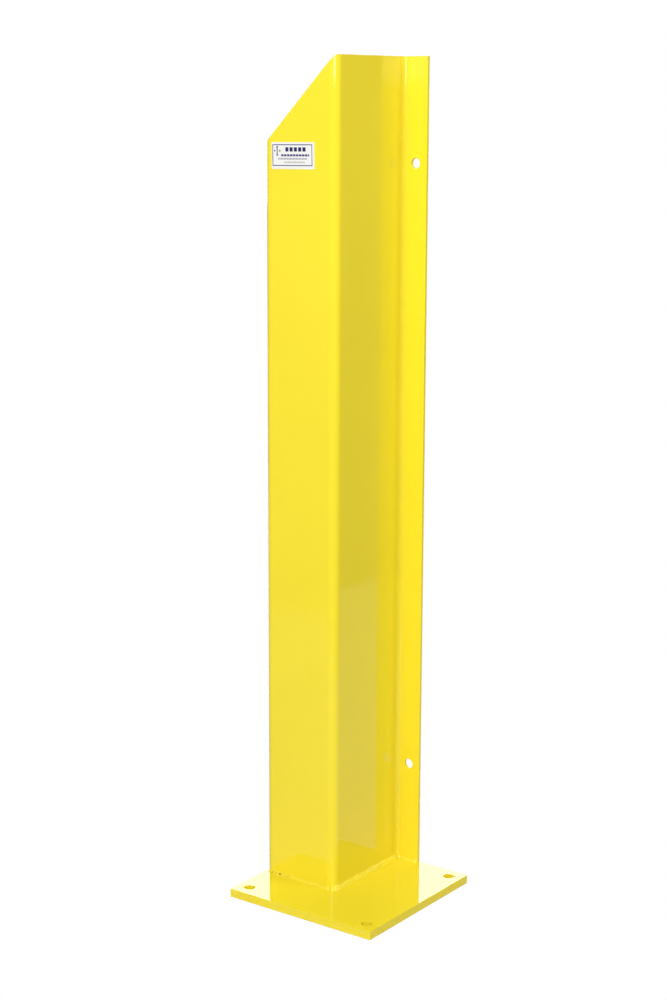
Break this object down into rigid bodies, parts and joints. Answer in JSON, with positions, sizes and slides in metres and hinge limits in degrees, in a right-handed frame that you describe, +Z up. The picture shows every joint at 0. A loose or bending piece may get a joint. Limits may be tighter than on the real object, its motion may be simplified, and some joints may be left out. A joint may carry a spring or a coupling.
{
  "type": "door track guard post",
  "caption": "Upright bent-steel guard on a square floor plate, with a sloped top corner and a wall flange, for shielding a vertical door track.",
  "frame": {"origin": "middle of the floor plate's underside, on the floor", "axes": "+Z up; +Y towards the wall, which is the plane of the plate's back edge; -Y is the front that faces traffic; +X to the right along the front face, towards the side with the wall flange, which is taken as the doorway side"},
  "size_m": [0.254, 0.254, 1.2192],
  "materials": {
    "yellow_powder_coat": "glossy safety yellow powder coat with slight orange peel",
    "printed_label_film": "satin white vinyl film with a blue printed border"
  },
  "bodies": {
    "root": {"base_plate": "yellow_powder_coat", "formed_guard": "yellow_powder_coat", "front_weld": "yellow_powder_coat", "side_weld": "yellow_powder_coat", "flange_weld": "yellow_powder_coat", "lip_weld": "yellow_powder_coat", "maker_label": "printed_label_film"}
  },
  "joints": []
}
